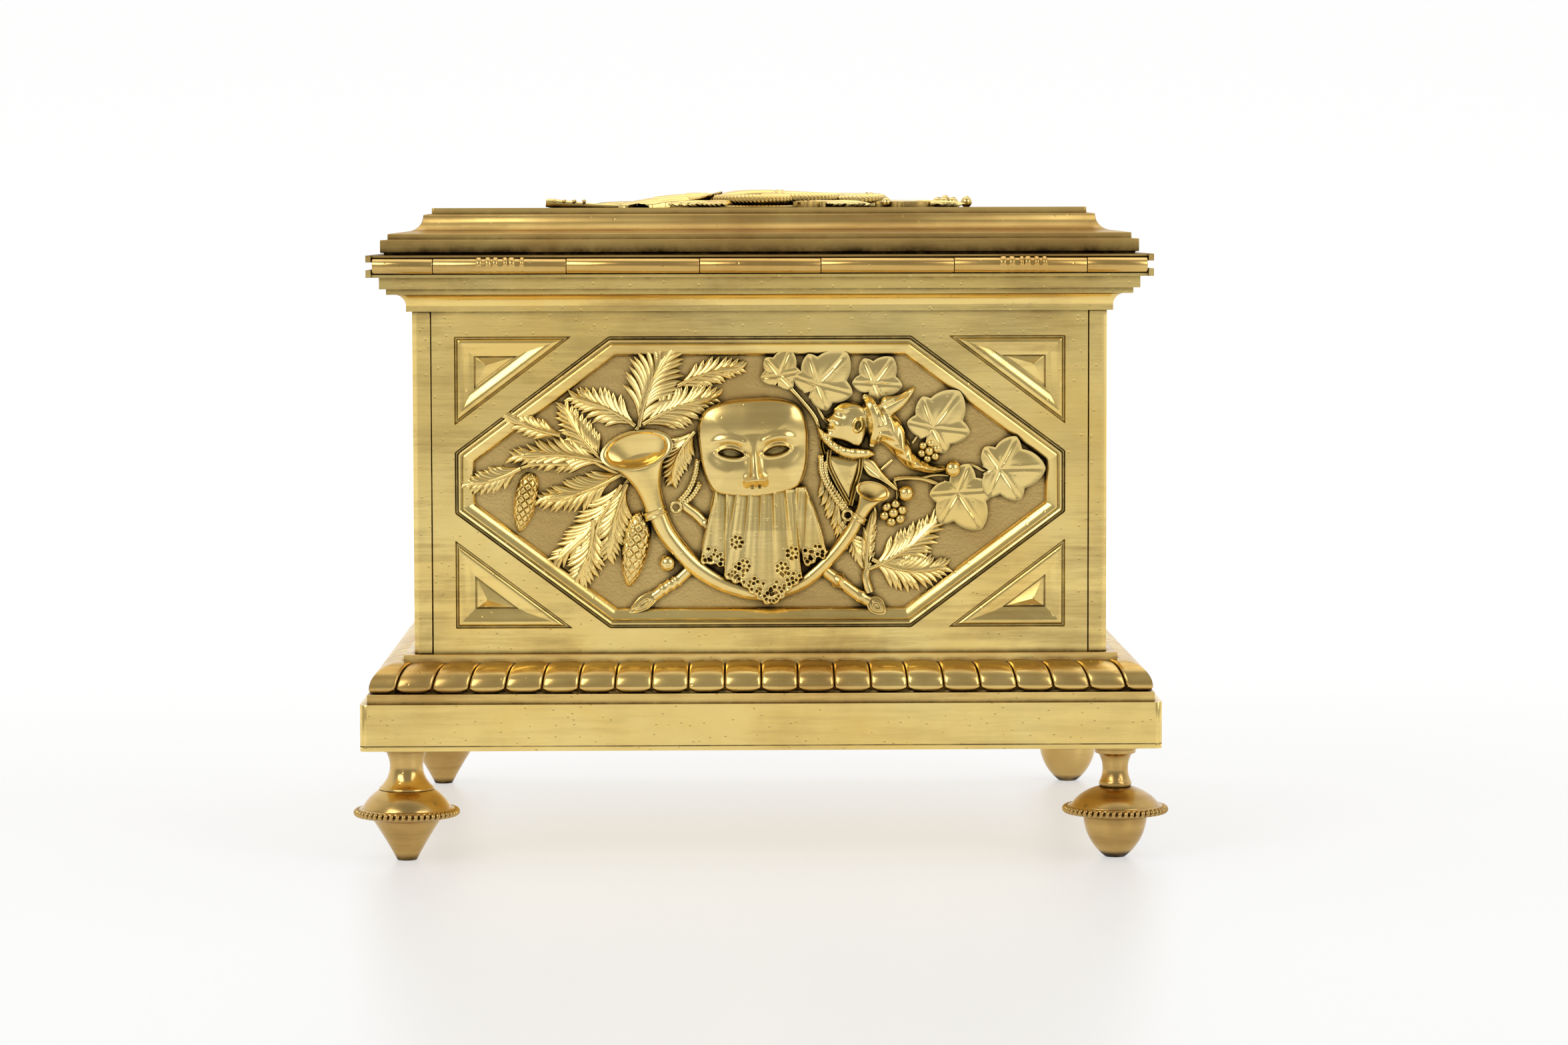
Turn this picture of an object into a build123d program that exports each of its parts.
from build123d import *
import math
import os

# Decorative casket in gilt bronze on four turned feet, with a hinged lid, a box lock and a padded lining.
# Millimetres. X runs along the hinge, Y from the hinge side (-Y) to the lock side (+Y), Z up.
# The origin is under the middle of the casket, on the plane that the feet rest on.

os.makedirs("parts", exist_ok=True)

# Plan. The plinth is the widest rectangle; the insets below are measured in from its faces.
plinth_width = 200.0
plinth_depth = 170.0
plinth_corner_radius = 1.8
plinth_wall = 3.0
mitre_reach = 30.0
base_fillet_inset = 1.8
gadroon_inset = 2.2
gadroon_shoulder_inset = 10.0
neck_fillet_inset = 10.4
body_inset = 12.9
lip_inset = 11.6
cornice_cove_inset = 9.0
cornice_step_inset = 7.0
cornice_fascia_inset = 5.4
rim_inset = 2.4
rim_stand_inset = 3.95
lid_recess_inset = 6.6
lid_fillet_inset = 5.7
lid_step_inset = 7.45
lid_cove_foot_inset = 12.1
lid_cove_head_inset = 15.8
lid_plate_inset = 17.8

# Heights, from the resting plane up.
foot_height = 28.6
bottom_plate_thickness = 1.2
plinth_band_height = 10.4
base_fillet_height = 2.4
gadroon_heel_height = 1.2
gadroon_heel_step = 0.6
gadroon_round_height = 6.3
neck_fillet_height = 1.6
body_height = 86.0
lip_height = 1.2
cornice_cove_height = 3.1
cornice_step_height = 1.4
cornice_fascia_height = 2.9
rim_flange_height = 1.9
rim_stand_height = 0.9
lid_seat_gap = 0.1
lid_flange_height = 1.7
lid_recess_height = 0.6
lid_fillet_height = 3.2
lid_step_height = 1.5
lid_slope_height = 0.6
lid_cove_height = 4.1
lid_ledge_height = 0.35
lid_plate_thickness = 1.35
lid_plate_corner_radius = 0.6

# Gadroons round the base.
gadroon_pitch = 8.95
gadroon_end_lobe = 8.4
gadroon_groove_width = 0.8
gadroon_groove_depth = 0.7
base_channel_outer_inset = 6.0
base_channel_roof = 3.6
base_channel_slope = 3.0
base_ledge_width = 3.2

# Side panels, corner posts and the relief plates let into the panels.
panel_thickness = 4.9
post_groove_chamfer = 0.5
post_edge_chamfer = 1.3
border_side = 5.6
border_height = 6.3
octagon_leg_along = 38.7
octagon_leg_up = 29.0
octagon_moulding_width = 5.1
relief_design_half_height = 36.7
field_depth = 2.4
relief_plate_thickness = 1.0
relief_plate_clearance = 0.05
triangle_leg_along = 29.5
triangle_leg_up = 22.3
triangle_moulding_width = 2.6
triangle_depth = 1.5
pyramid_offset = 5.0
pyramid_leg_along = 10.5
pyramid_leg_up = 8.0
pyramid_height = 1.3
pyramid_tip_share = 0.15

# Feet.
foot_inset = 10.83
foot_collar_radius = 6.35
foot_collar_thickness = 1.0
foot_seam_height = 17.8
flared_neck_seat_radius = 6.95
flared_neck_seat_height = 0.5
flared_neck_waist_radius = 4.2
flared_neck_waist_height = 5.4
flared_neck_top_radius = 4.85
flared_neck_top_drop = 0.8
slim_neck_seat_radius = 3.85
slim_neck_bead_height = 1.6
slim_neck_bead_rise = 0.25
slim_neck_waist_radius = 3.2
slim_neck_top_radius = 4.15
slim_neck_top_drop = 1.6
slim_neck_step_radius = 5.15
slim_neck_step_drop = 1.2
foot_shoulder_radius = 11.3
foot_shoulder_height = 13.1
cone_dome_radius = 9.5
cone_dome_lift = 0.25
round_dome_radius = 8.4
round_dome_drop = 1.9
under_ring_drop = 0.9
cone_under_radius = 8.5
cone_tip_middle = (4.9, 4.4)
round_under_radius = 8.0
round_tip_middle = (6.2, 4.2)
bead_ring_core_radius = 11.4
bead_ring_seat_depth = 0.6
bead_ring_thickness = 2.0
bead_radius = 1.0
bead_count = 44
bead_centre_radius = 12.35
foot_tip_radius = 2.45
stud_radius = 1.5
stud_clearance = 0.05
stud_bottom_height = 7.0
stud_above_nut = 1.2
foot_lug_size = 11.0
foot_lug_height = 6.4
foot_lug_bite = 1.0
nut_across_flats = 5.5
nut_thickness = 2.4

# Hinge.
barrel_radius = 1.85
barrel_overhang = 0.3
barrel_end_inset = 1.6
end_knuckle_length = 15.0
middle_knuckle_length = 30.0
knuckle_gap = 0.12
barrel_clearance = 0.3
hinge_pin_radius = 1.15
hinge_pin_running_clearance = 0.05
hinge_pin_end_recess = 0.5
leaf_width = 7.0
leaf_thickness = 0.85
leaf_end_inset = 1.2
stop_overhang = 0.7
stop_root = 2.0
hinge_screw_count = 5
hinge_screw_head_radius = 1.5
hinge_screw_shank_radius = 0.7
hinge_screw_head_height = 0.6
hinge_screw_length = 2.3
hinge_screw_margin = 14.0
screw_clearance = 0.05

# Lock, its keeper on the lid, the escutcheon and the key.
lock_case_width = 40.0
lock_case_height = 37.0
lock_case_thickness = 8.0
lock_wall = 0.9
lock_side_clearance = 0.4
key_axis_drop = 29.6
key_turn = 90.0
bit_reach = 4.2
bit_thickness = 1.2
bit_width = 1.6
key_shank_radius = 1.4
key_end_radius = 1.1
key_end_clearance = 0.06
key_hole_clearance = 0.35
key_outside_length = 14.0
key_bow_radius = 4.6
key_bow_wire_radius = 0.95
key_collar_radius = 2.3
key_collar_thickness = 1.4
bolt_thickness = 1.8
bolt_width = 26.0
bolt_clearance_above_shank = 1.95
bolt_body_height = 9.0
bolt_nose_height = 3.6
bolt_arm_width = 5.0
bolt_nose_drop = 3.9
talon_clearance = 0.45
guide_pin_radius = 1.0
guide_pin_spacing = 6.0
guide_pin_place = -8.0
guide_pin_rise = 5.58
guide_pin_clearance = 0.2
hook_width = 5.2
hook_thickness = 2.0
hook_clearance = 0.5
hook_notch_clearance = 0.5
hook_foot = 1.6
keeper_plate_width = 30.0
keeper_plate_depth = 9.0
keeper_plate_thickness = 0.8
keeper_tongue_half_width = 19.0
keeper_tongue_margin = 0.5
keeper_tongue_root = 1.0
keeper_screw_head_height = 0.64
keeper_screw_length = 2.08
escutcheon_width = 11.0
escutcheon_height = 15.0
escutcheon_thickness = 1.4
escutcheon_cheek = (0.72, 0.62)
lock_screw_radius = 0.9
lock_screw_head_radius = 1.7
lock_screw_head_height = 0.8
lock_screw_inset = 3.0
lock_screw_bite = 1.0
lock_screw_top_drop = 4.5

# Lining.
lining_thickness = 2.5
floor_board_thickness = 2.5
floor_pad_thickness = 4.0
floor_pad_edge = 2.2
pad_clearance = 0.3
lining_rim_drop = 1.2
lid_pad_thickness = 5.0
lid_pad_edge = 2.6
lid_board_thickness = 2.0
bottom_screw_radius = 1.2
bottom_screw_head_radius = 2.4
bottom_screw_head_height = 0.9
bottom_screw_length = 6.0

# Relief on the panels and the lid. The forms' own places are given where they are made, from the panel's
# middle, for a relief of relief_design_half_height.
mask_half_width = 14.2
mask_half_height = 15.0
mask_rise = 6.2
lace_rise = 3.6
leaf_rise = 1.1
wreath_leaf_rise = 1.8
spray_shortening = 0.25
branch_radius = 1.6
ivy_stem_radius = 0.8
horn_tube_radius = 1.7
horn_tube_overlap = 0.05
horn_bell_throat = 1.2
horn_mouthpiece_overlap = 0.2
horn_mouthpiece_flare = 2.1
horn_mouthpiece_dip = 0.1
berry_radius = 1.5
pine_cone_rise = 2.6
wreath_leaf_count = 22
wreath_half_width = 20.0
wreath_half_height = 17.0
wreath_drop = 7.0
tambourine_radius = 14.5
tambourine_rim_width = 1.9
tambourine_rise = 2.9
tambourine_skin_rise = 1.6
tambourine_boss_radius = 7.5
tambourine_boss_rise = 4.2
trophy_rise = 3.9
trophy_base_half_width = 30.0
trophy_base_half_depth = 17.0
trophy_base_rise = 0.8
trophy_bell_place = -16.0
trophy_bell_half_width = 17.0
trophy_bell_half_depth = 8.0
trophy_leaf_count = 5
trophy_leaf_foot = 20.0
trophy_leaf_length = 34.0
trophy_leaf_shortening = 2.0
trophy_leaf_belly = 15.0
trophy_leaf_half_width = 3.2
trophy_leaf_rise = 1.6
trophy_first_leaf_turn = 58.0
trophy_leaf_turn_step = 16.0

# Levels worked out from the heights.
z_plinth = foot_height + bottom_plate_thickness
z_base = z_plinth + plinth_band_height
z_heel = z_base + base_fillet_height
z_round = z_heel + gadroon_heel_height
z_shoulder = z_round + gadroon_round_height
z_body = z_shoulder + neck_fillet_height
z_cornice = z_body + body_height
z_lip = z_cornice + lip_height
z_step = z_lip + cornice_cove_height
z_fascia = z_step + cornice_step_height
z_rim = z_fascia + cornice_fascia_height
z_rim_stand = z_rim + rim_flange_height
z_rim_top = z_rim_stand + rim_stand_height
z_lid = z_rim_top + lid_seat_gap
z_lid_flange = z_lid + rim_stand_height
z_lid_recess = z_lid_flange + lid_flange_height
z_lid_fillet = z_lid_recess + lid_recess_height
z_lid_step = z_lid_fillet + lid_fillet_height
z_lid_slope = z_lid_step + lid_step_height
z_lid_cove = z_lid_slope + lid_slope_height
z_lid_ledge = z_lid_cove + lid_cove_height
z_lid_plate = z_lid_ledge + lid_ledge_height
z_lid_top = z_lid_plate + lid_plate_thickness

half_width = plinth_width / 2
half_depth = plinth_depth / 2
wall_inset = body_inset + panel_thickness
inner_half_width = half_width - wall_inset
inner_half_depth = half_depth - wall_inset
hinge_y = -(half_depth - rim_inset) - barrel_overhang
hinge_z = (z_rim_top + z_lid) / 2
barrel_half_length = half_width - rim_inset - barrel_end_inset
panel_centre_z = z_body + body_height / 2
octagon_half_height = body_height / 2 - border_height
relief_ratio = octagon_half_height / relief_design_half_height
lock_y = inner_half_depth - lock_case_thickness / 2
key_z = z_rim_top - key_axis_drop
key_lean = math.radians(key_turn / 2)
bolt_throw = 2 * bit_reach * math.sin(key_lean)
bolt_nose_length = bolt_throw

# Each coil of cord on the lid: its place along X, its radius and the cord's own radius.
TROPHY_COILS = ((0.0, 13.5, 1.5), (12.0, 10.5, 1.3))

# Half an ivy leaf's outline, in shares of its size, from its foot to its point.
IVY_OUTLINE = ((0, -0.42), (0.16, -0.5), (0.3, -0.2), (0.55, -0.05), (0.3, 0.12), (0.25, 0.3), (0.0, 0.62))

SIDES = {"back": (0, -1), "right": (1, 0), "front": (0, 1), "left": (-1, 0)}
CORNERS = [(-1, -1), (1, -1), (1, 1), (-1, 1)]


def side_halves(side):
    """Half the plinth's length along a side, and how far that side stands from the middle."""
    if side in ("back", "front"):
        return half_width, half_depth
    return half_depth, half_width


def profile_plane(side):
    """A plane across the side: local X is the inset, local Y is the height, and local Z runs along the side."""
    nx, ny = SIDES[side]
    out = side_halves(side)[1]
    return Plane(origin=(nx * out, ny * out, 0), x_dir=(-nx, -ny, 0), z_dir=(-ny, nx, 0))


def face_plane(side, inset):
    """A plane on the side's face at that inset: local X runs along it, local Y is up, local Z is outward."""
    nx, ny = SIDES[side]
    out = side_halves(side)[1] - inset
    return Plane(origin=(nx * out, ny * out, panel_centre_z), x_dir=(-ny, nx, 0), z_dir=(nx, ny, 0))


def profile(start, *steps):
    """A closed outline. Each step is the next point, or a pair of points for an arc: one on it and its end."""
    edges = []
    here = start
    for step in steps:
        if isinstance(step[0], tuple):
            edges.append(ThreePointArc(here, step[0], step[1]))
            here = step[1]
        else:
            edges.append(Line(here, step))
            here = step
    if here != start:
        edges.append(Line(here, start))
    return make_face(Curve() + edges)


def moulding(outline, side):
    """One length of a moulding, cut to mitres at both ends."""
    along, out = side_halves(side)
    bar = extrude(profile_plane(side) * outline, amount=along, both=True)
    nx, ny = SIDES[side]
    near_x = along - mitre_reach
    near_y = mitre_reach - out
    mitre = Polygon((-along, -out), (along, -out), (near_x, near_y), (-near_x, near_y), align=None)
    turn = math.degrees(math.atan2(ny, nx)) + 90
    return bar & (Rot(0, 0, turn) * extrude(mitre, amount=z_lid_top))


def ring(outline):
    """A moulding round all four sides, in one piece."""
    bars = [moulding(outline, side) for side in SIDES]
    return bars[0] + bars[1:]


def box_between(low, high):
    """A box from its lowest and highest corners."""
    size = [b - a for a, b in zip(low, high)]
    return Pos(*low) * Box(*size, align=(Align.MIN, Align.MIN, Align.MIN))


def plate(inset, z, thickness, corner_radius=0.0):
    """A rectangular plate that stops at that inset from the plinth's faces."""
    outline = Rectangle(plinth_width - 2 * inset, plinth_depth - 2 * inset)
    if corner_radius:
        outline = fillet(outline.vertices(), corner_radius)
    return Pos(0, 0, z) * extrude(outline, amount=thickness)


def rod(radius, start, end):
    """A round rod between two points."""
    axis = Vector(*end) - Vector(*start)
    return extrude(Plane(origin=start, z_dir=axis) * Circle(radius), amount=axis.length)


def foot_places():
    return [(sx * (half_width - foot_inset), sy * (half_depth - foot_inset)) for sx, sy in CORNERS]


def bottom_screw_places():
    """Beside the feet, along the hinge side and the lock side."""
    x = half_width - foot_inset - foot_lug_size * 2
    return [(sx * x, sy * (half_depth - foot_inset)) for sx, sy in CORNERS]


def mirrored(solid, sign_x, sign_y):
    """The solid made for the corner at +X +Y, flipped to another corner."""
    if sign_x < 0:
        solid = mirror(solid, about=Plane.YZ)
    if sign_y < 0:
        solid = mirror(solid, about=Plane.XZ)
    return solid


def countersunk_screw(head_radius, head_height, shank_radius, length, extra=0.0):
    """A screw with its flat head at the origin, pointing up. With extra, the hole that it goes in."""
    low = (Align.CENTER, Align.CENTER, Align.MIN)
    head = Cone(head_radius + extra, shank_radius + extra, head_height + extra, align=low)
    return head + Cylinder(shank_radius + extra, length + extra, align=low)


def bottom_screw(x, y, extra=0.0):
    screw = countersunk_screw(
        bottom_screw_head_radius, bottom_screw_head_height, bottom_screw_radius, bottom_screw_length, extra)
    return Pos(x, y, foot_height) * screw


def stud_hole(x, y):
    return Pos(x, y, foot_height) * Cylinder(stud_radius + stud_clearance, 2 * (foot_height + foot_lug_height))


def bottom_plate():
    sheet = plate(0, foot_height, bottom_plate_thickness, plinth_corner_radius)
    for x, y in foot_places():
        sheet -= stud_hole(x, y)
    for x, y in bottom_screw_places():
        sheet -= bottom_screw(x, y, screw_clearance)
    return sheet


def plinth_band():
    """The plain band of the plinth, with a lug inside each corner for the foot's stud."""
    band = plate(0, z_plinth, plinth_band_height, plinth_corner_radius)
    band -= plate(plinth_wall, z_plinth, plinth_band_height)
    wall_x = half_width - plinth_wall
    wall_y = half_depth - plinth_wall
    low_x = half_width - foot_inset - foot_lug_size / 2
    low_y = half_depth - foot_inset - foot_lug_size / 2
    top = z_plinth + foot_lug_height
    lug = box_between((low_x, low_y, z_plinth), (wall_x + foot_lug_bite, wall_y + foot_lug_bite, top))
    boss_x = bottom_screw_places()[2][0]
    boss = box_between((boss_x - foot_lug_size / 2, low_y, z_plinth),
                       (boss_x + foot_lug_size / 2, wall_y + foot_lug_bite, top))
    for sx, sy in CORNERS:
        band += mirrored(lug, sx, sy)
        band += mirrored(boss, sx, sy)
    for x, y in foot_places():
        band -= stud_hole(x, y)
    for x, y in bottom_screw_places():
        band -= bottom_screw(x, y)
    return band


def foot_neck(slim):
    """The turned spool between the bottom plate and the bulb. Two of the feet have a slimmer one."""
    top = foot_height
    seam = foot_seam_height
    collar = top - foot_collar_thickness
    bore = stud_radius + stud_clearance
    if slim:
        seat = slim_neck_seat_radius
        bead = (seat + slim_neck_bead_rise, seam + slim_neck_bead_height / 2)
        waist = (slim_neck_waist_radius, (seam + collar) / 2)
        outline = profile(
            (bore, seam), (seat, seam), (bead, (seat, seam + slim_neck_bead_height)),
            (waist, (slim_neck_top_radius, collar - slim_neck_top_drop)),
            (slim_neck_step_radius, collar - slim_neck_step_drop), (slim_neck_step_radius, collar),
            (foot_collar_radius, collar), (foot_collar_radius, top), (bore, top))
    else:
        seat = flared_neck_seat_radius
        waist = (flared_neck_waist_radius, seam + flared_neck_waist_height)
        outline = profile(
            (bore, seam), (seat, seam), (seat, seam + flared_neck_seat_height),
            (waist, (flared_neck_top_radius, collar - flared_neck_top_drop)),
            (flared_neck_top_radius, collar), (foot_collar_radius, collar),
            (foot_collar_radius, top), (bore, top))
    return revolve(Plane.XZ * outline, Axis.Z)


def foot_bulb(slim):
    """The bulb and tip below the neck, in one piece. A groove round its widest part seats the beaded ring."""
    bore = stud_radius + stud_clearance
    seam = foot_seam_height
    shoulder_z = foot_shoulder_height
    groove_z = shoulder_z - bead_ring_thickness
    groove_radius = bead_ring_core_radius - bead_ring_seat_depth
    if slim:
        seat, under, tip_middle = slim_neck_seat_radius, round_under_radius, round_tip_middle
        dome_middle = (round_dome_radius, seam - round_dome_drop)
    else:
        seat, under, tip_middle = flared_neck_seat_radius, cone_under_radius, cone_tip_middle
        dome_middle = (cone_dome_radius, (seam + shoulder_z) / 2 + cone_dome_lift)
    outline = profile(
        (bore, seam), (seat, seam), (dome_middle, (foot_shoulder_radius, shoulder_z)),
        (groove_radius, shoulder_z), (groove_radius, groove_z), (bead_ring_core_radius, groove_z),
        (under, groove_z - under_ring_drop),
        (tip_middle, (foot_tip_radius, 0.0)), (0.0, 0.0), (0.0, stud_bottom_height), (bore, stud_bottom_height))
    return revolve(Plane.XZ * outline, Axis.Z)


def foot_bead_ring():
    """The beaded ring, seated in the groove round the bulb."""
    low = foot_shoulder_height - bead_ring_thickness
    inner = bead_ring_core_radius - bead_ring_seat_depth
    band = Pos(0, 0, low) * extrude(Circle(bead_centre_radius) - Circle(inner), amount=bead_ring_thickness)
    bead = Pos(bead_centre_radius, 0, low + bead_ring_thickness / 2) * Sphere(bead_radius)
    beads = [Rot(0, 0, 360.0 * i / bead_count) * bead for i in range(bead_count)]
    return band + beads


def foot_stud():
    top = z_plinth + foot_lug_height + nut_thickness + stud_above_nut
    return rod(stud_radius, (0, 0, stud_bottom_height), (0, 0, top))


def foot_nut():
    blank = extrude(RegularPolygon(nut_across_flats / 2, 6, major_radius=False), amount=nut_thickness)
    blank -= Cylinder(stud_radius + stud_clearance, 3 * nut_thickness)
    return Pos(0, 0, z_plinth + foot_lug_height) * blank


def base_section():
    """The section of the gadrooned base: a fillet, the round and the neck fillet, hollow from below."""
    inner = wall_inset + base_ledge_width
    channel_inner = wall_inset
    roof = z_body - base_channel_roof
    crown = math.sqrt(0.5)
    run = gadroon_shoulder_inset - gadroon_inset
    mid = (gadroon_shoulder_inset - run * crown, z_round + gadroon_round_height * crown)
    return profile(
        (base_fillet_inset, z_base), (base_fillet_inset, z_heel), (gadroon_inset + gadroon_heel_step, z_heel),
        (gadroon_inset, z_round), (mid, (gadroon_shoulder_inset, z_shoulder)),
        (neck_fillet_inset, z_shoulder), (neck_fillet_inset, z_body), (inner, z_body), (inner, z_base),
        (channel_inner, z_base), (channel_inner, roof), (base_channel_outer_inset, roof - base_channel_slope),
        (base_channel_outer_inset, z_base))


def groove_section():
    """The section cut away along a groove, down to its rounded bottom, from outside the moulding."""
    bottom = gadroon_inset + gadroon_groove_depth
    run = gadroon_shoulder_inset - bottom
    rise = gadroon_round_height - gadroon_groove_depth
    crown = math.sqrt(0.5)
    mid = (gadroon_shoulder_inset - run * crown, z_round + rise * crown)
    return profile(
        (0, z_heel), (bottom, z_heel), (bottom, z_round), (mid, (gadroon_shoulder_inset, z_round + rise)),
        (gadroon_shoulder_inset, z_body), (0, z_body))


def gadroon_bar(side):
    """One side of the gadrooned base, with its grooves."""
    along = side_halves(side)[0]
    reach = along - gadroon_inset - gadroon_end_lobe
    lobes = round(2 * reach / gadroon_pitch)
    cutter = extrude(profile_plane(side) * groove_section(), amount=gadroon_groove_width / 2, both=True)
    bar = moulding(base_section(), side)
    nx, ny = SIDES[side]
    for i in range(lobes + 1):
        place = -reach + 2 * reach * i / lobes
        bar -= Pos(-ny * place, nx * place, 0) * cutter
    return bar


def octagon(side):
    """The octagon where the moulding round the relief meets the panel's face."""
    half_x = side_halves(side)[0] - wall_inset - border_side
    y = octagon_half_height
    x = half_x - octagon_leg_along
    up = y - octagon_leg_up
    points = [(-x, -y), (x, -y), (half_x, -up), (half_x, up), (x, y), (-x, y), (-half_x, up), (-half_x, -up)]
    return Polygon(*points, align=None)


def sunk(outer, inner, depth):
    """A pocket whose sides slope from one outline on the face to a smaller one at that depth."""
    return loft([outer, Pos(0, 0, -depth) * inner], ruled=True)


def corner_triangle(side, offset=0.0, leg_along=None, leg_up=None):
    """The triangle in the panel's upper right corner, with its right angle at the border."""
    x = side_halves(side)[0] - wall_inset - border_side - offset
    y = octagon_half_height - offset
    leg_along = leg_along or triangle_leg_along
    leg_up = leg_up or triangle_leg_up
    return Polygon((x, y), (x - leg_along, y), (x, y - leg_up), align=None)


def flipped(outline, sx, sy):
    """An outline or solid made for the upper right of a panel, flipped to another quarter."""
    if sx < 0:
        outline = mirror(outline, about=Plane.YZ)
    if sy < 0:
        outline = mirror(outline, about=Plane.XZ)
    return outline


def triangle_cut(side):
    """What is cut away in the upper right corner of a panel: a sunk triangle round a low pyramid."""
    outer = corner_triangle(side)
    inner = offset(outer, amount=-triangle_moulding_width, kind=Kind.INTERSECTION)
    cut = sunk(outer, inner, triangle_depth)
    base = corner_triangle(side, pyramid_offset, pyramid_leg_along, pyramid_leg_up)
    corner_x = side_halves(side)[0] - wall_inset - border_side - pyramid_offset
    corner_y = octagon_half_height - pyramid_offset
    centre = (corner_x - pyramid_leg_along / 3, corner_y - pyramid_leg_up / 3)
    tip = Pos(*centre) * scale(Pos(-centre[0], -centre[1]) * base, by=pyramid_tip_share)
    top = pyramid_height - triangle_depth
    return cut - loft([Pos(0, 0, -triangle_depth) * base, Pos(0, 0, top) * tip], ruled=True)


def panel(side):
    """One cast side of the body: a plate with a sunk octagon and four sunk corner triangles."""
    along = side_halves(side)[0] - wall_inset
    slab = extrude(Rectangle(2 * along, body_height), amount=-panel_thickness)
    edges = slab.edges().filter_by(Axis.Y).group_by(Axis.Z)[-1]
    slab = chamfer(edges, post_groove_chamfer)
    outer = octagon(side)
    inner = offset(outer, amount=-octagon_moulding_width, kind=Kind.INTERSECTION)
    slab -= sunk(outer, inner, field_depth)
    slab -= Pos(0, 0, -field_depth) * extrude(inner, amount=-relief_plate_thickness)
    cut = triangle_cut(side)
    slab -= [flipped(cut, sx, sy) for sx, sy in CORNERS]
    placed = face_plane(side, body_inset) * slab
    if side == "front":
        placed -= key_hole()
        for x, z in lock_screw_places():
            placed -= lock_screw(x, z)
    return placed


def corner_post():
    """The corner post at +X +Y, chamfered at its outer corner and along the groove beside each panel."""
    x = half_width - body_inset
    y = half_depth - body_inset
    inner_x = x - panel_thickness
    inner_y = y - panel_thickness
    groove = post_groove_chamfer
    edge = post_edge_chamfer
    outline = Polygon(
        (inner_x, inner_y), (x - groove, inner_y), (x, inner_y + groove), (x, y - edge), (x - edge, y),
        (inner_x + groove, y), (inner_x, y - groove), align=None)
    return Pos(0, 0, z_body) * raised(outline, body_height)


def cornice():
    inner = wall_inset
    corner = math.sqrt(0.5)
    run = lip_inset - cornice_cove_inset
    mid = (lip_inset - run * (1 - corner), z_lip + cornice_cove_height * corner)
    made = ring(profile(
        (inner, z_cornice), (lip_inset, z_cornice), (lip_inset, z_lip),
        (mid, (cornice_cove_inset, z_step)), (cornice_step_inset, z_step), (cornice_step_inset, z_fascia),
        (cornice_fascia_inset, z_fascia), (cornice_fascia_inset, z_rim), (inner, z_rim)))
    for x, z in lock_screw_places():
        made -= lock_screw(x, z)
    return made


def barrel_room(extra):
    """The space round the hinge barrel, over its whole length."""
    half = barrel_half_length + extra
    return rod(barrel_radius + barrel_clearance, (-half, hinge_y, hinge_z), (half, hinge_y, hinge_z))


def leaf_seat(low, high, extra=0.0):
    """The recess that a hinge leaf lies in, between two heights."""
    half = barrel_half_length - leaf_end_inset + extra
    return box_between((-half, hinge_y, low), (half, hinge_y + leaf_width + extra, high))


def end_stops(z_low, z_high):
    """The two corners of a rim that reach out behind the hinge axis, past the barrel's ends."""
    start = barrel_half_length + barrel_clearance
    back = hinge_y - stop_overhang
    front = -(half_depth - rim_inset) + stop_root
    stop = box_between((start, back, z_low), (half_width - rim_inset, front, z_high))
    return stop + mirror(stop, about=Plane.YZ)


def body_rim():
    """The rim that closes the body, with a step up to where the lid rests."""
    rim = ring(profile(
        (wall_inset, z_rim), (rim_inset, z_rim), (rim_inset, z_rim_stand), (rim_stand_inset, z_rim_stand),
        (rim_stand_inset, z_rim_top), (wall_inset, z_rim_top)))
    rim += end_stops(z_rim, z_rim_stand)
    rim -= leaf_seat(hinge_z - leaf_thickness - (hinge_z - z_rim_top), z_lid)
    rim -= barrel_room(barrel_clearance)
    for x in hinge_screw_places(0):
        rim -= hinge_screw(x, -1)
    return rim


def lid_rim():
    """The lid's own rim, the body's mirror image, with a tongue over the lock that carries the keeper."""
    inner = wall_inset
    rim = ring(profile(
        (inner, z_lid), (rim_stand_inset, z_lid), (rim_stand_inset, z_lid_flange), (rim_inset, z_lid_flange),
        (rim_inset, z_lid_recess), (inner, z_lid_recess)))
    tongue_y = lock_y - keeper_plate_depth / 2 - keeper_tongue_margin
    rim += box_between((-keeper_tongue_half_width, tongue_y, z_lid),
                       (keeper_tongue_half_width, inner_half_depth + keeper_tongue_root, z_lid_recess))
    rim += end_stops(z_lid_flange, z_lid_recess)
    rim -= leaf_seat(z_rim_top, z_lid + leaf_thickness)
    rim -= barrel_room(barrel_clearance)
    for x in hinge_screw_places(1):
        rim -= hinge_screw(x, 1)
    rim -= keeper_seat()
    for x, y in keeper_screw_places():
        rim -= keeper_screw(x, y)
    return rim


def lid_moulding():
    """The stepped and coved frame of the lid, above its rim."""
    inner = lid_plate_inset + base_ledge_width
    corner = math.sqrt(0.5)
    run = lid_cove_head_inset - lid_cove_foot_inset
    mid = (lid_cove_foot_inset + run * corner, z_lid_ledge - lid_cove_height * corner)
    return ring(profile(
        (inner, z_lid_recess), (lid_recess_inset, z_lid_recess), (lid_recess_inset, z_lid_fillet),
        (lid_fillet_inset, z_lid_fillet), (lid_fillet_inset, z_lid_step), (lid_step_inset, z_lid_step),
        (lid_step_inset, z_lid_slope), (lid_cove_foot_inset, z_lid_cove),
        (mid, (lid_cove_head_inset, z_lid_ledge)),
        (lid_plate_inset, z_lid_plate), (inner, z_lid_plate)))


def lid_plate():
    return plate(lid_plate_inset, z_lid_plate, lid_plate_thickness, lid_plate_corner_radius)


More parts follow.
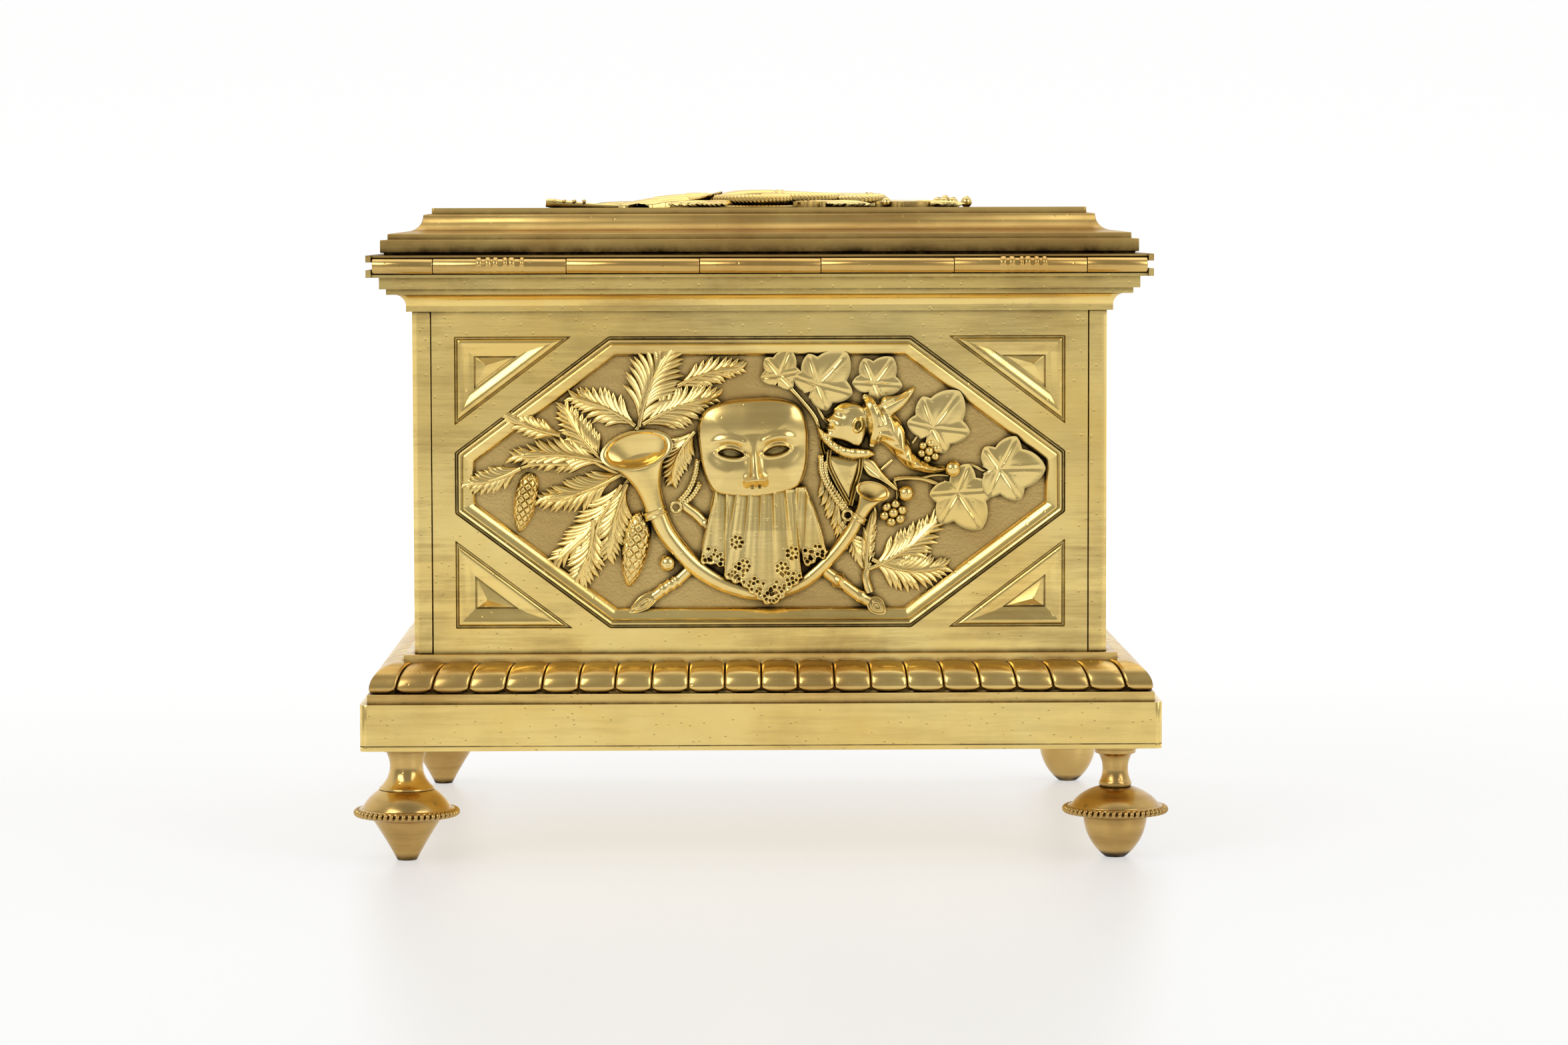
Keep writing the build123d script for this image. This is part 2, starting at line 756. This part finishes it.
def knuckles():
    """The knuckles along the barrel: start, end and whether the lid carries it."""
    half = barrel_half_length
    inner = (half - end_knuckle_length - middle_knuckle_length / 2) / 2
    lengths = [end_knuckle_length, inner, inner, middle_knuckle_length, inner, inner, end_knuckle_length]
    spans = []
    x = -half
    for i, length in enumerate(lengths):
        spans.append((x + knuckle_gap / 2, x + length - knuckle_gap / 2, i % 2 == 1))
        x += length
    return spans


def hinge_screw_places(lid):
    reach = barrel_half_length - hinge_screw_margin - lid * hinge_screw_margin / 2
    return [-reach + 2 * reach * i / (hinge_screw_count - 1) for i in range(hinge_screw_count)]


def hinge_screw(x, up, extra=0.0):
    """A leaf screw. up is 1 in the lid, where it is driven upward, and -1 in the body."""
    screw = countersunk_screw(
        hinge_screw_head_radius, hinge_screw_head_height, hinge_screw_shank_radius, hinge_screw_length, extra)
    y = hinge_y + leaf_width - hinge_screw_head_radius - leaf_thickness
    if up > 0:
        return Pos(x, y, z_lid) * screw
    return Pos(x, y, z_rim_top) * (Rot(180, 0, 0) * screw)


def hinge_leaf(of_lid):
    """One half of the hinge: its leaf and its own knuckles."""
    half = barrel_half_length - leaf_end_inset
    edge_y = hinge_y + leaf_width - screw_clearance
    low = z_lid if of_lid else z_rim_top - leaf_thickness
    leaf = box_between((-half, hinge_y, low), (half, edge_y, low + leaf_thickness))
    bore = hinge_pin_radius + (hinge_pin_running_clearance if of_lid else 0.0)
    for start, end, lids in knuckles():
        if lids == of_lid:
            leaf += rod(barrel_radius, (start, hinge_y, hinge_z), (end, hinge_y, hinge_z))
        else:
            start -= knuckle_gap
            end += knuckle_gap
            leaf -= rod(barrel_radius + barrel_clearance, (start, hinge_y, hinge_z), (end, hinge_y, hinge_z))
    leaf -= rod(bore, (-half_width, hinge_y, hinge_z), (half_width, hinge_y, hinge_z))
    for x in hinge_screw_places(1 if of_lid else 0):
        leaf -= hinge_screw(x, 1 if of_lid else -1, screw_clearance)
    return leaf


def hinge_pin():
    half = barrel_half_length - hinge_pin_end_recess
    return rod(hinge_pin_radius, (-half, hinge_y, hinge_z), (half, hinge_y, hinge_z))


def key_hole():
    """The hole for the key's shank and bit, through the front panel, its relief plate and the escutcheon."""
    radius = key_shank_radius + key_hole_clearance
    front = half_depth - body_inset + escutcheon_thickness
    back = lock_y + lock_case_thickness / 2 - 2 * lock_wall
    slot_half = bit_thickness / 2 + key_hole_clearance
    slot = box_between((-slot_half, back, key_z - bit_reach - key_hole_clearance), (slot_half, front, key_z))
    return rod(radius, (0, back, key_z), (0, front, key_z)) + slot


def lock_case():
    """An open-backed box behind the front panel, with a slot in its top for the hook and two guide pins."""
    half = lock_case_width / 2
    low = (-half, inner_half_depth - lock_case_thickness, z_rim_top - lock_case_height)
    high = (half, inner_half_depth, z_rim_top)
    case = box_between(low, high)
    case -= box_between((low[0] + lock_wall, low[1], low[2] + lock_wall),
                        (high[0] - lock_wall, high[1] - lock_wall, high[2] - lock_wall))
    x = hook_x()
    half_x = hook_thickness / 2 + hook_clearance
    half_y = hook_width / 2 + hook_clearance
    case -= box_between((x - half_x, lock_y - half_y, z_rim_top - 3 * lock_wall),
                        (x + half_x, lock_y + half_y, z_rim_top))
    case -= key_hole()
    for place in guide_pin_places():
        case += rod(guide_pin_radius, (place, lock_y - lock_case_thickness / 2 + 2 * lock_wall, bolt_guide_z()),
                    (place, high[1], bolt_guide_z()))
    for x, z in lock_screw_places():
        case -= lock_screw(x, z)
    return case


def lock_cap():
    """The flat plate that closes the lock case on the inside, with a bearing for the key's end."""
    half = lock_case_width / 2
    low = (-half, inner_half_depth - lock_case_thickness - lock_wall, z_rim_top - lock_case_height)
    cap = box_between(low, (half, low[1] + lock_wall, z_rim_top))
    bearing = (0, low[1] + 2 * lock_wall, key_z)
    cap -= rod(key_end_radius + key_end_clearance, (0, low[1] - lock_wall, key_z), bearing)
    for x, z in lock_screw_places():
        cap -= lock_screw(x, z, screw_clearance)
    return cap


def lock_screw_places():
    """Two screws low in the case, which bite in the front panel, and two high up, which bite in the cornice."""
    half = lock_case_width / 2 - lock_screw_inset
    low = z_rim_top - lock_case_height + lock_screw_inset
    return [(x, z) for z in (low, z_rim_top - lock_screw_top_drop) for x in (-half, half)]


def lock_screw(x, z, extra=0.0):
    """A screw driven from inside the casket, through the lock's cap and case, into the front panel."""
    start = inner_half_depth - lock_case_thickness - lock_wall
    screw = countersunk_screw(
        lock_screw_head_radius, lock_screw_head_height, lock_screw_radius,
        lock_case_thickness + lock_wall + lock_screw_bite, extra)
    return Plane(origin=(x, start, z), z_dir=(0, 1, 0)) * screw


def bolt_bottom():
    return key_z + key_shank_radius + bolt_clearance_above_shank


def bolt_guide_z():
    return bolt_bottom() + guide_pin_rise


def bolt_right():
    """The right edge of the bolt's arm, from which its nose stands out, while the bolt is drawn back."""
    return (bolt_width - bolt_throw) / 2 - guide_pin_radius - bolt_nose_length


def bolt_top():
    return z_rim_top - bolt_nose_drop


def guide_pin_places():
    """The pins' places along X. The bolt's slot reaches past them by its throw."""
    return [guide_pin_place, guide_pin_place + guide_pin_spacing]


def hook_x():
    """Just clear of the bolt's nose while the bolt is drawn back."""
    return bolt_right() + bolt_nose_length + hook_clearance + hook_thickness / 2


def bolt_solid():
    """The sliding bolt, drawn back: a plate with a talon notch and a guide slot, and an arm with a nose."""
    thick = bolt_thickness / 2
    near = lock_y - bolt_thickness
    far = lock_y + bolt_thickness
    right = bolt_right()
    bottom = bolt_bottom()
    body = box_between((right + bolt_nose_length - bolt_width, lock_y - thick, bottom),
                       (right, lock_y + thick, bottom + bolt_body_height))
    body += box_between((right - bolt_arm_width, lock_y - thick, bottom), (right, lock_y + thick, bolt_top()))
    body += box_between((right - bolt_arm_width, lock_y - thick, bolt_top() - bolt_nose_height),
                        (right + bolt_nose_length, lock_y + thick, bolt_top()))
    talon = -bolt_throw / 2
    half = bit_thickness / 2 + talon_clearance
    deep = key_z + bit_reach + talon_clearance
    body -= box_between((talon - half, near, bottom - thick), (talon + half, far, deep))
    first, last = guide_pin_places()
    reach = guide_pin_radius + guide_pin_clearance
    z = bolt_guide_z()
    body -= box_between((first - bolt_throw, near, z - reach), (last, far, z + reach))
    for x in (first - bolt_throw, last):
        body -= rod(reach, (x, near, z), (x, far, z))
    return body


def hook():
    """The keeper's hook, which hangs into the lock case: a leg behind the bolt, and a foot below its nose."""
    x = hook_x()
    notch_low = bolt_top() - bolt_nose_height - hook_notch_clearance
    notch_half = bolt_thickness / 2 + hook_notch_clearance
    tab = box_between((x - hook_thickness / 2, lock_y - hook_width / 2, notch_low - hook_foot),
                      (x + hook_thickness / 2, lock_y + hook_width / 2, z_lid + keeper_plate_thickness))
    return tab - box_between((x - hook_thickness, lock_y - hook_width, notch_low),
                             (x + hook_thickness, lock_y + notch_half, z_lid))


def keeper_plate_box(extra):
    half = keeper_plate_width / 2 + extra
    reach = keeper_plate_depth / 2 + extra
    return box_between((-half, lock_y - reach, z_lid), (half, lock_y + reach, z_lid + keeper_plate_thickness))


def keeper_seat():
    return keeper_plate_box(screw_clearance)


def keeper_screw_places():
    half = keeper_plate_width / 2 - lock_screw_inset
    return [(-half, lock_y), (half, lock_y)]


def keeper_screw(x, y, extra=0.0):
    screw = countersunk_screw(
        lock_screw_head_radius, keeper_screw_head_height, lock_screw_radius, keeper_screw_length, extra)
    return Pos(x, y, z_lid) * screw


def lock_keeper():
    """The plate let into the lid's rim over the lock, with its hook."""
    keeper = keeper_plate_box(0.0) + hook()
    for x, y in keeper_screw_places():
        keeper -= keeper_screw(x, y, screw_clearance)
    return keeper


def key():
    """The key, turned to where it holds the bolt drawn back: ring bow, collar, round shank and a flat bit."""
    front = half_depth - body_inset
    bow_y = front + key_outside_length - key_bow_radius - key_bow_wire_radius
    end = inner_half_depth - lock_case_thickness - lock_wall / 2
    collar_y = front + escutcheon_thickness - field_depth + 2 * key_hole_clearance
    shank = rod(key_shank_radius, (0, lock_y - bit_width / 2, key_z), (0, bow_y - key_bow_radius, key_z))
    tip = rod(key_end_radius, (0, end, key_z), (0, lock_y, key_z))
    collar = rod(key_collar_radius, (0, collar_y, key_z), (0, collar_y + key_collar_thickness, key_z))
    bow = Pos(0, bow_y, key_z) * (Rot(0, 90, 0) * Torus(key_bow_radius, key_bow_wire_radius))
    bit = box_between((-bit_thickness / 2, lock_y - bit_width / 2, key_z),
                      (bit_thickness / 2, lock_y + bit_width / 2, key_z + bit_reach))
    made = shank + tip + collar + bow + bit
    return made.rotate(Axis((0, 0, key_z), (0, 1, 0)), -key_turn / 2)


def escutcheon_centre():
    """The escutcheon's height above the panel's middle. It is centred on the keyhole's whole length."""
    return key_z - panel_centre_z - bit_reach / 2


def escutcheon():
    """A small shield round the keyhole, on the relief plate."""
    w = escutcheon_width / 2
    h = escutcheon_height / 2
    cheek = (w * escutcheon_cheek[0], -h * escutcheon_cheek[1])
    outline = profile((-w, h), (w, h), (w, 0), (cheek, (0, -h)), ((-cheek[0], cheek[1]), (-w, 0)))
    shield = extrude(outline, amount=escutcheon_thickness)
    shield = face_plane("front", body_inset + field_depth) * (Pos(0, escutcheon_centre()) * shield)
    return shield - key_hole()


def raised(outline, amount):
    """An outline drawn in local X and Y, raised along local Z, whichever way round it was drawn."""
    return extrude(outline, amount=amount, dir=(0, 0, 1))


def above(solid, floor_z):
    """The part of a solid above a height in its own frame."""
    size = 2 * plinth_width
    return solid & (Pos(0, 0, floor_z) * Box(size, size, size, align=(Align.CENTER, Align.CENTER, Align.MIN)))


def mound(x, y, half_x, half_y, rise, turn=0.0):
    """A rounded form on the relief's ground, half an ellipsoid."""
    whole = scale(Sphere(1.0), by=(half_x, half_y, rise))
    return Pos(x, y, 0) * (Rot(0, 0, turn) * above(whole, -relief_plate_thickness / 2))


def blade(x, y, length, width, turn, rise):
    """A flat pointed leaf, from its foot at x, y."""
    half = width / 2
    outline = profile((0, 0), ((length / 2, half), (length, 0)), ((length / 2, -half), (0, 0)))
    ground = relief_plate_thickness / 2
    return Pos(x, y, -ground) * (Rot(0, 0, turn) * raised(outline, rise + ground))


def ivy_leaf(x, y, size, turn, rise):
    """A leaf of five lobes, with its point along the turn."""
    right = [(a * size, b * size) for a, b in IVY_OUTLINE]
    left = [(-a, b) for a, b in reversed(right[1:-1])]
    ground = relief_plate_thickness / 2
    outline = Polygon(*right, *left, align=None)
    return Pos(x, y, -ground) * (Rot(0, 0, turn - 90) * raised(outline, rise + ground))


def stem(x0, y0, x1, y1, radius):
    """A branch that lies half sunk in the ground."""
    return above(rod(radius, (x0, y0, radius / 2), (x1, y1, radius / 2)), -relief_plate_thickness / 2)


def spray(x, y, length, turn, spread, leaves, width, rise):
    """A sprig seen as a fan of pointed leaves from one foot."""
    step = spread / max(leaves - 1, 1)
    turns = [turn - spread / 2 + step * i for i in range(leaves)]
    lengths = [length * (1 - spray_shortening * abs(t - turn) / spread) for t in turns]
    return [blade(x, y, reach, width, t, rise) for t, reach in zip(turns, lengths)]


def horn(places, mouth, mouth_radius, small_mouth):
    """A curved horn that lies on the ground: an arc of tube, a wide bell and a small mouthpiece bell."""
    r = horn_tube_radius
    low = (Align.CENTER, Align.CENTER, Align.MIN)
    a, b, c = places
    path = ThreePointArc((*a, r), (*b, r), (*c, r))
    tube = sweep(Plane(origin=path @ 0, z_dir=path % 0) * Circle(r), path=path)
    reach = Vector(*mouth, 0) - Vector(*a, r)
    cone = Cone(horn_bell_throat * r, mouth_radius, reach.length, align=low)
    bell = Plane(origin=Vector(*a, r) - reach * horn_tube_overlap, z_dir=reach) * cone
    out = Vector(*small_mouth) - Vector(*c)
    cone = Cone(horn_bell_throat * r, horn_mouthpiece_flare * r, out.length, align=low)
    start = Vector(*c, r) - out * horn_mouthpiece_overlap
    pipe = Plane(origin=start, z_dir=(out.X, out.Y, -horn_mouthpiece_dip)) * cone
    return [above(solid, -relief_plate_thickness / 2) for solid in (tube, bell, pipe)]


def back_forms():
    """Pine and ivy sprays, a horn, a fool's head on a stick and a mask with a fall of lace."""
    forms = [mound(-1.7, 7.0, mask_half_width, mask_half_height, mask_rise)]
    fall = Polygon((-14, -5), (12, -5), (13, -16), (5, -22), (2, -29), (-5, -23), (-13, -20), align=None)
    forms.append(Pos(0, 0, -relief_plate_thickness / 2) * raised(fall, lace_rise))
    forms += horn([(-26, -8.6), (0, -28.4), (24.7, -9.0)], (-31.2, 7.8), 5.6, (28.4, -1.5))
    forms += spray(-31, 14, 22, 65, 40, 4, 4.5, leaf_rise)
    forms += spray(-20, 24, 15, 15, 30, 2, 4.0, leaf_rise)
    forms += spray(-33, 13, 18, 150, 40, 3, 4.5, leaf_rise)
    forms += spray(-42, 5, 26, 187, 24, 3, 4.5, leaf_rise)
    forms += spray(-36, 0, 26, 205, 60, 4, 4.5, leaf_rise)
    forms += spray(27, -25, 20, 50, 50, 4, 4.0, leaf_rise)
    forms.append(mound(-59.3, -5.3, 7.2, 3.4, pine_cone_rise, 80))
    forms.append(mound(-31.7, -17.5, 8.8, 3.6, pine_cone_rise, 85))
    ivy = [(4.3, 27.1, 12.4, 150), (17.3, 26.1, 14.2, 60), (30.5, 27.3, 11.4, 30), (45.7, 16.2, 16.0, 75),
           (61.1, 2.0, 17.6, 0), (50.9, -6.7, 16.0, 310)]
    forms += [ivy_leaf(x, y, size, turn, leaf_rise) for x, y, size, turn in ivy]
    forms += [mound(23.5, 13.7, 7.6, 6.6, 3.6, 20), mound(36, 10, 8, 3.6, 2.4, 300)]
    forms += [stem(-17.3, -23.3, -32, -32.2, branch_radius), stem(-19.1, -6.2, -13.3, -11.6, branch_radius)]
    forms += [stem(16.6, -22.8, 30.2, -32.2, branch_radius), stem(7.4, 25, 16.6, 15.6, ivy_stem_radius)]
    forms += [mound(x, y, berry_radius, berry_radius, berry_radius) for x, y in
              [(-23.3, -20.5), (42.4, 7.3), (33.3, -7.8), (47.6, 3.2), (36.7, -2.7)]]
    return forms


def front_forms():
    """A wreath of leaves below the keyhole, over a crossed torch and staff, between sprays of ivy and pine."""
    forms = [stem(-34, -24, 34, 12, branch_radius), stem(34, -24, -34, 12, branch_radius)]
    forms += [mound(-36, 13, 5.4, 3.4, 3.2, 30), mound(36, 13, 5.4, 3.4, 3.2, 150)]
    for i in range(wreath_leaf_count):
        t = math.radians(110 + 320 * i / (wreath_leaf_count - 1))
        x = wreath_half_width * math.cos(t)
        y = wreath_half_height * math.sin(t) - wreath_drop
        forms.append(blade(x, y, 9.5, 4.2, math.degrees(t) + 100, wreath_leaf_rise))
    for sx in (-1, 1):
        forms.append(ivy_leaf(sx * 52, -2, 17, 90 - sx * 90, leaf_rise))
        forms.append(ivy_leaf(sx * 44, 8, 13, 90 - sx * 60, leaf_rise))
        forms.append(ivy_leaf(sx * 44, -14, 14, 270 + sx * 50, leaf_rise))
        forms += spray(sx * 30, -18, 19, 270 + sx * 62, 50, 4, 4.2, leaf_rise)
        forms.append(mound(sx * 27, -24, 7.0, 3.2, pine_cone_rise, 90 - sx * 60))
    return forms


def tambourine():
    """A round skin in a raised rim, with a boss at its middle."""
    low = -relief_plate_thickness / 2
    disc = Pos(0, 0, low) * extrude(Circle(tambourine_radius), amount=tambourine_rise - low)
    skin = Circle(tambourine_radius - tambourine_rim_width)
    disc -= Pos(0, 0, tambourine_skin_rise) * extrude(skin, amount=tambourine_rise)
    return [disc, mound(0, 0, tambourine_boss_radius, tambourine_boss_radius, tambourine_boss_rise)]


def side_forms():
    """A tambourine crossed by a pipe and a torch, between sprays of pine and ivy."""
    forms = tambourine()
    for sx in (-1, 1):
        forms += [stem(sx * 27, -22, sx * 11, -9, branch_radius), stem(sx * 11, 9, sx * 27, 22, branch_radius)]
        forms += spray(sx * 18, 4, 22, 90 - sx * 78, 46, 4, 4.4, leaf_rise)
        forms += spray(sx * 18, -8, 19, 270 + sx * 70, 40, 3, 4.2, leaf_rise)
        forms.append(ivy_leaf(sx * 10, 24, 13, 90 + sx * 20, leaf_rise))
        forms.append(ivy_leaf(sx * 10, -25, 13, 270 - sx * 20, leaf_rise))
        forms.append(mound(sx * 44, -9, 7.0, 3.2, pine_cone_rise, 80))
    return forms


RELIEFS = {"back": back_forms, "front": front_forms, "left": side_forms, "right": side_forms}


def relief_plate(side):
    """The octagonal plate let into a panel, with its ornament. Local Z of 0 is the ornament's ground."""
    inset = octagon_moulding_width + relief_plate_clearance
    ground = offset(octagon(side), amount=-inset, kind=Kind.INTERSECTION)
    fence = extrude(ground, amount=2 * mask_rise, both=True)
    made = extrude(ground, amount=-relief_plate_thickness)
    for form in RELIEFS[side]():
        made += scale(form, by=relief_ratio) & fence
    placed = face_plane(side, body_inset + field_depth) * made
    if side == "front":
        placed -= key_hole()
        room = extrude(Rectangle(escutcheon_width, escutcheon_height), amount=2 * mask_rise)
        placed -= face_plane("front", body_inset + field_depth) * (Pos(0, escutcheon_centre()) * room)
    return placed


def lid_trophy():
    """The ornament cast in high relief on the lid: a horn's bell in a coil of cord, on crossed sprays."""
    made = extrude(Ellipse(trophy_base_half_width, trophy_base_half_depth), amount=trophy_base_rise)
    for x, radius, cord_radius in TROPHY_COILS:
        made += Pos(x, 0, 0) * above(Torus(radius, cord_radius), 0)
    bell = scale(Sphere(1.0), by=(trophy_bell_half_width, trophy_bell_half_depth, trophy_rise))
    made += Pos(trophy_bell_place, 0, 0) * above(bell, 0)
    middle = (trophy_leaf_count - 1) / 2
    for sx in (-1, 1):
        for i in range(trophy_leaf_count):
            turn = 90 - sx * (trophy_first_leaf_turn + trophy_leaf_turn_step * i)
            point = (trophy_leaf_length - trophy_leaf_shortening * abs(i - middle), 0)
            upper = (trophy_leaf_belly, trophy_leaf_half_width)
            lower = (trophy_leaf_belly, -trophy_leaf_half_width)
            leaf = raised(profile((0, 0), (upper, point), (lower, (0, 0))), trophy_leaf_rise)
            made += Pos(sx * trophy_leaf_foot, 0, 0) * (Rot(0, 0, turn) * leaf)
    return Pos(0, 0, z_lid_top) * made


def floor_board():
    return plate(wall_inset + screw_clearance, z_body, floor_board_thickness)


def pad(half_x, half_y, z, thickness, edge, up):
    """A padded cushion with a crowned face. up is 1 where the crown is on top."""
    low = Rectangle(2 * half_x, 2 * half_y)
    high = Rectangle(2 * (half_x - edge), 2 * (half_y - edge))
    slab = extrude(low, amount=thickness / 2)
    crown = loft([Pos(0, 0, thickness / 2) * low, Pos(0, 0, thickness) * high], ruled=True)
    made = slab + crown
    if up < 0:
        made = mirror(made, about=Plane.XY)
    return Pos(0, 0, z) * made


def floor_pad():
    z = z_body + floor_board_thickness
    gap = lining_thickness + pad_clearance
    return pad(inner_half_width - gap, inner_half_depth - gap, z, floor_pad_thickness, floor_pad_edge, 1)


def lining(side):
    """One padded wall of the lining. The one at the front is cut away round the lock."""
    along = side_halves(side)[0] - wall_inset
    if side in ("left", "right"):
        along -= lining_thickness + pad_clearance
    low = z_body + floor_board_thickness
    high = z_rim_top - lining_rim_drop
    sheet = extrude(Rectangle(2 * along, high - low), amount=-lining_thickness)
    placed = face_plane(side, wall_inset) * (Pos(0, (low + high) / 2 - panel_centre_z) * sheet)
    if side == "front":
        half = lock_case_width / 2 + lock_side_clearance
        bottom = z_rim_top - lock_case_height - lock_side_clearance
        placed -= box_between((-half, 0, bottom), (half, half_depth, z_lid))
    return placed


def lid_board():
    """The thin board under the lid's plate, which carries the lid's pad."""
    low = z_lid_plate - lid_board_thickness
    return plate(lid_plate_inset + base_ledge_width + pad_clearance, low, lid_board_thickness)


def lid_pad():
    half_x = half_width - lid_plate_inset - base_ledge_width - 2 * pad_clearance
    half_y = half_depth - lid_plate_inset - base_ledge_width - 2 * pad_clearance
    return pad(half_x, half_y, z_lid_plate - lid_board_thickness, lid_pad_thickness, lid_pad_edge, -1)


def save(node, solid):
    """Writes one sub-part under its name."""
    solid.label = node
    export_step(solid, "parts/" + node + ".step")


def group(solids):
    return Compound(children=list(solids))


save("bottom_plate", bottom_plate())
save("plinth_band", plinth_band())
save("bottom_plate_screws", group([bottom_screw(x, y) for x, y in bottom_screw_places()]))
for number, (x, y) in enumerate(foot_places(), start=1):
    slim = x > 0
    place = Pos(x, y, 0)
    save("foot_neck_%d" % number, place * foot_neck(slim))
    save("foot_bulb_%d" % number, place * foot_bulb(slim))
    save("foot_bead_ring_%d" % number, place * foot_bead_ring())
save("foot_studs", group([Pos(x, y, 0) * foot_stud() for x, y in foot_places()]))
save("foot_nuts", group([Pos(x, y, 0) * foot_nut() for x, y in foot_places()]))
for side in SIDES:
    save("gadroon_" + side, gadroon_bar(side))
    save("panel_" + side, panel(side))
    save("relief_" + side, relief_plate(side))
    save("lining_" + side, lining(side))
for number, (sx, sy) in enumerate(CORNERS, start=1):
    save("corner_post_%d" % number, mirrored(corner_post(), sx, sy))
save("cornice", cornice())
save("body_rim", body_rim())
save("floor_board", floor_board())
save("floor_pad", floor_pad())
save("lid_rim", lid_rim())
save("lid_moulding", lid_moulding())
save("lid_plate", lid_plate())
save("lid_trophy", lid_trophy())
save("lid_board", lid_board())
save("lid_pad", lid_pad())
save("hinge_body_leaf", hinge_leaf(False))
save("hinge_lid_leaf", hinge_leaf(True))
save("hinge_pin", hinge_pin())
save("hinge_body_screws", group([hinge_screw(x, -1) for x in hinge_screw_places(0)]))
save("hinge_lid_screws", group([hinge_screw(x, 1) for x in hinge_screw_places(1)]))
save("lock_case", lock_case())
save("lock_cap", lock_cap())
save("lock_screws", group([lock_screw(x, z) for x, z in lock_screw_places()]))
save("lock_bolt", bolt_solid())
save("lock_keeper", lock_keeper())
save("keeper_screws", group([keeper_screw(x, y) for x, y in keeper_screw_places()]))
save("escutcheon", escutcheon())
save("key", key())
